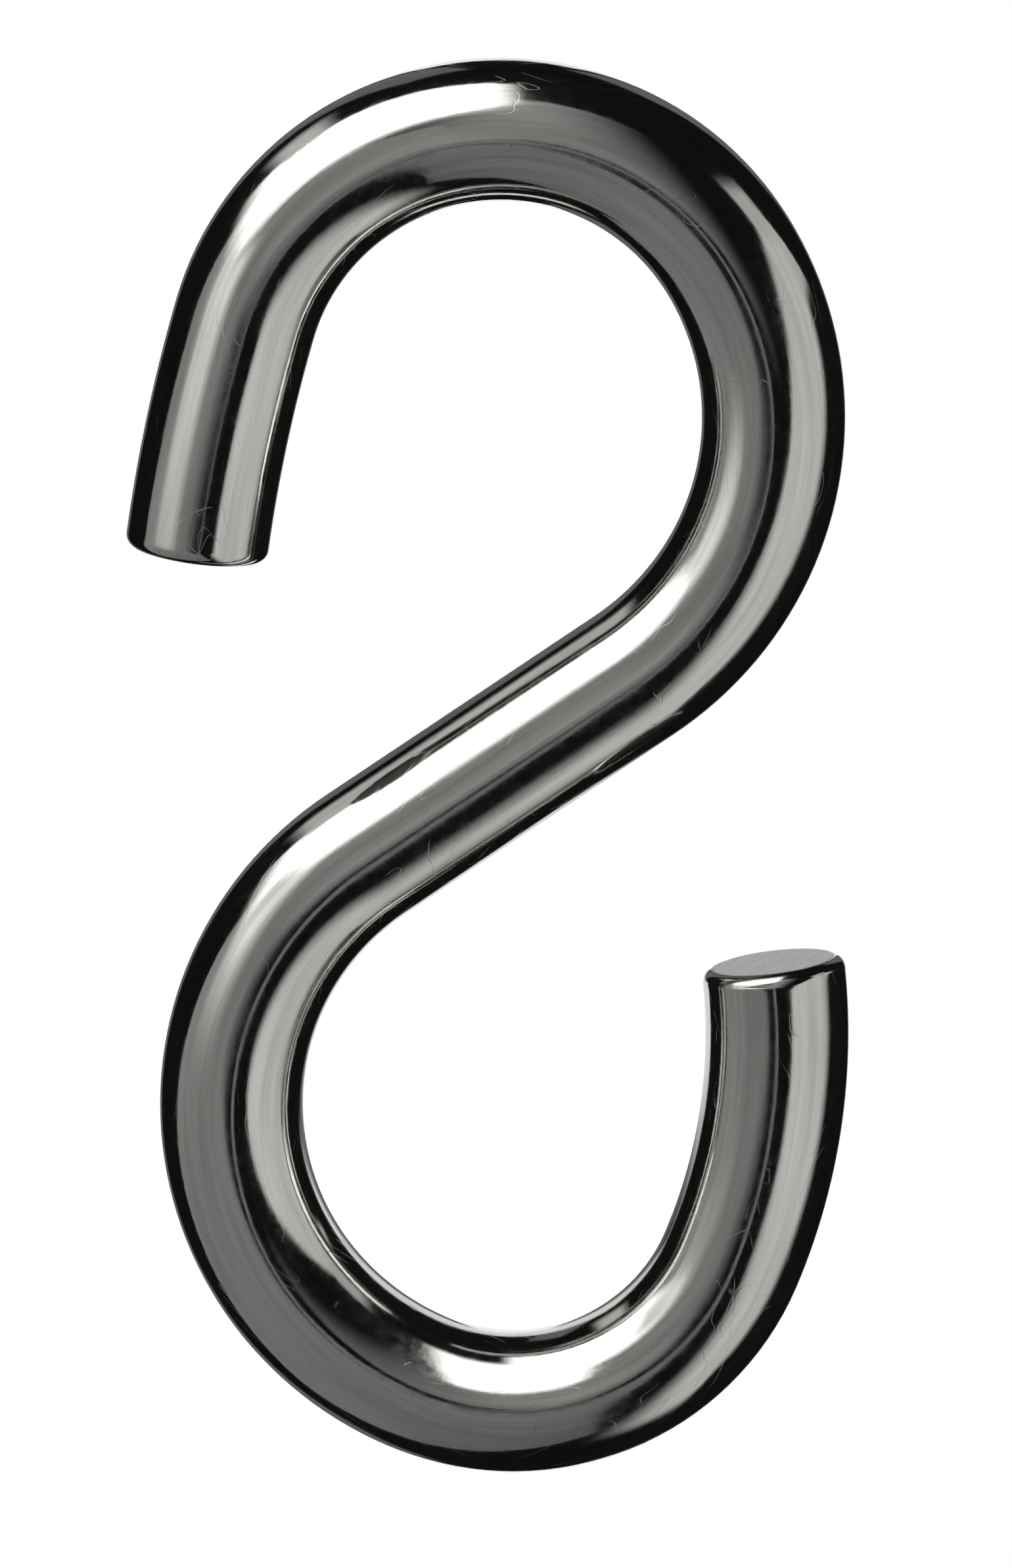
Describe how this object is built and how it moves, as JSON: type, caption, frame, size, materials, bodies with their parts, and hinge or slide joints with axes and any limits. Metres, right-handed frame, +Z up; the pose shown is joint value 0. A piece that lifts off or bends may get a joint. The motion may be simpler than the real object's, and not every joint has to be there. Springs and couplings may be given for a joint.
{
  "type": "s hook",
  "caption": "Open S hook bent from bright round steel wire, with square-cut rounded ends, for hanging a load from a bar, ring, chain link or eye.",
  "frame": {"origin": "the upper seat: the highest point inside the upper crook, on the wire's inner side, where the hook hangs", "axes": "+Z up along the hook's length, +X across it with the upper tip towards -X and the lower tip towards +X, +Y along the bar that it hangs on; the wire's centreline lies in the plane Y = 0"},
  "size_m": [0.0253, 0.005, 0.0502],
  "materials": {
    "bright_wire": "polished"
  },
  "bodies": {
    "root": {"s_hook": "bright_wire"}
  },
  "joints": []
}
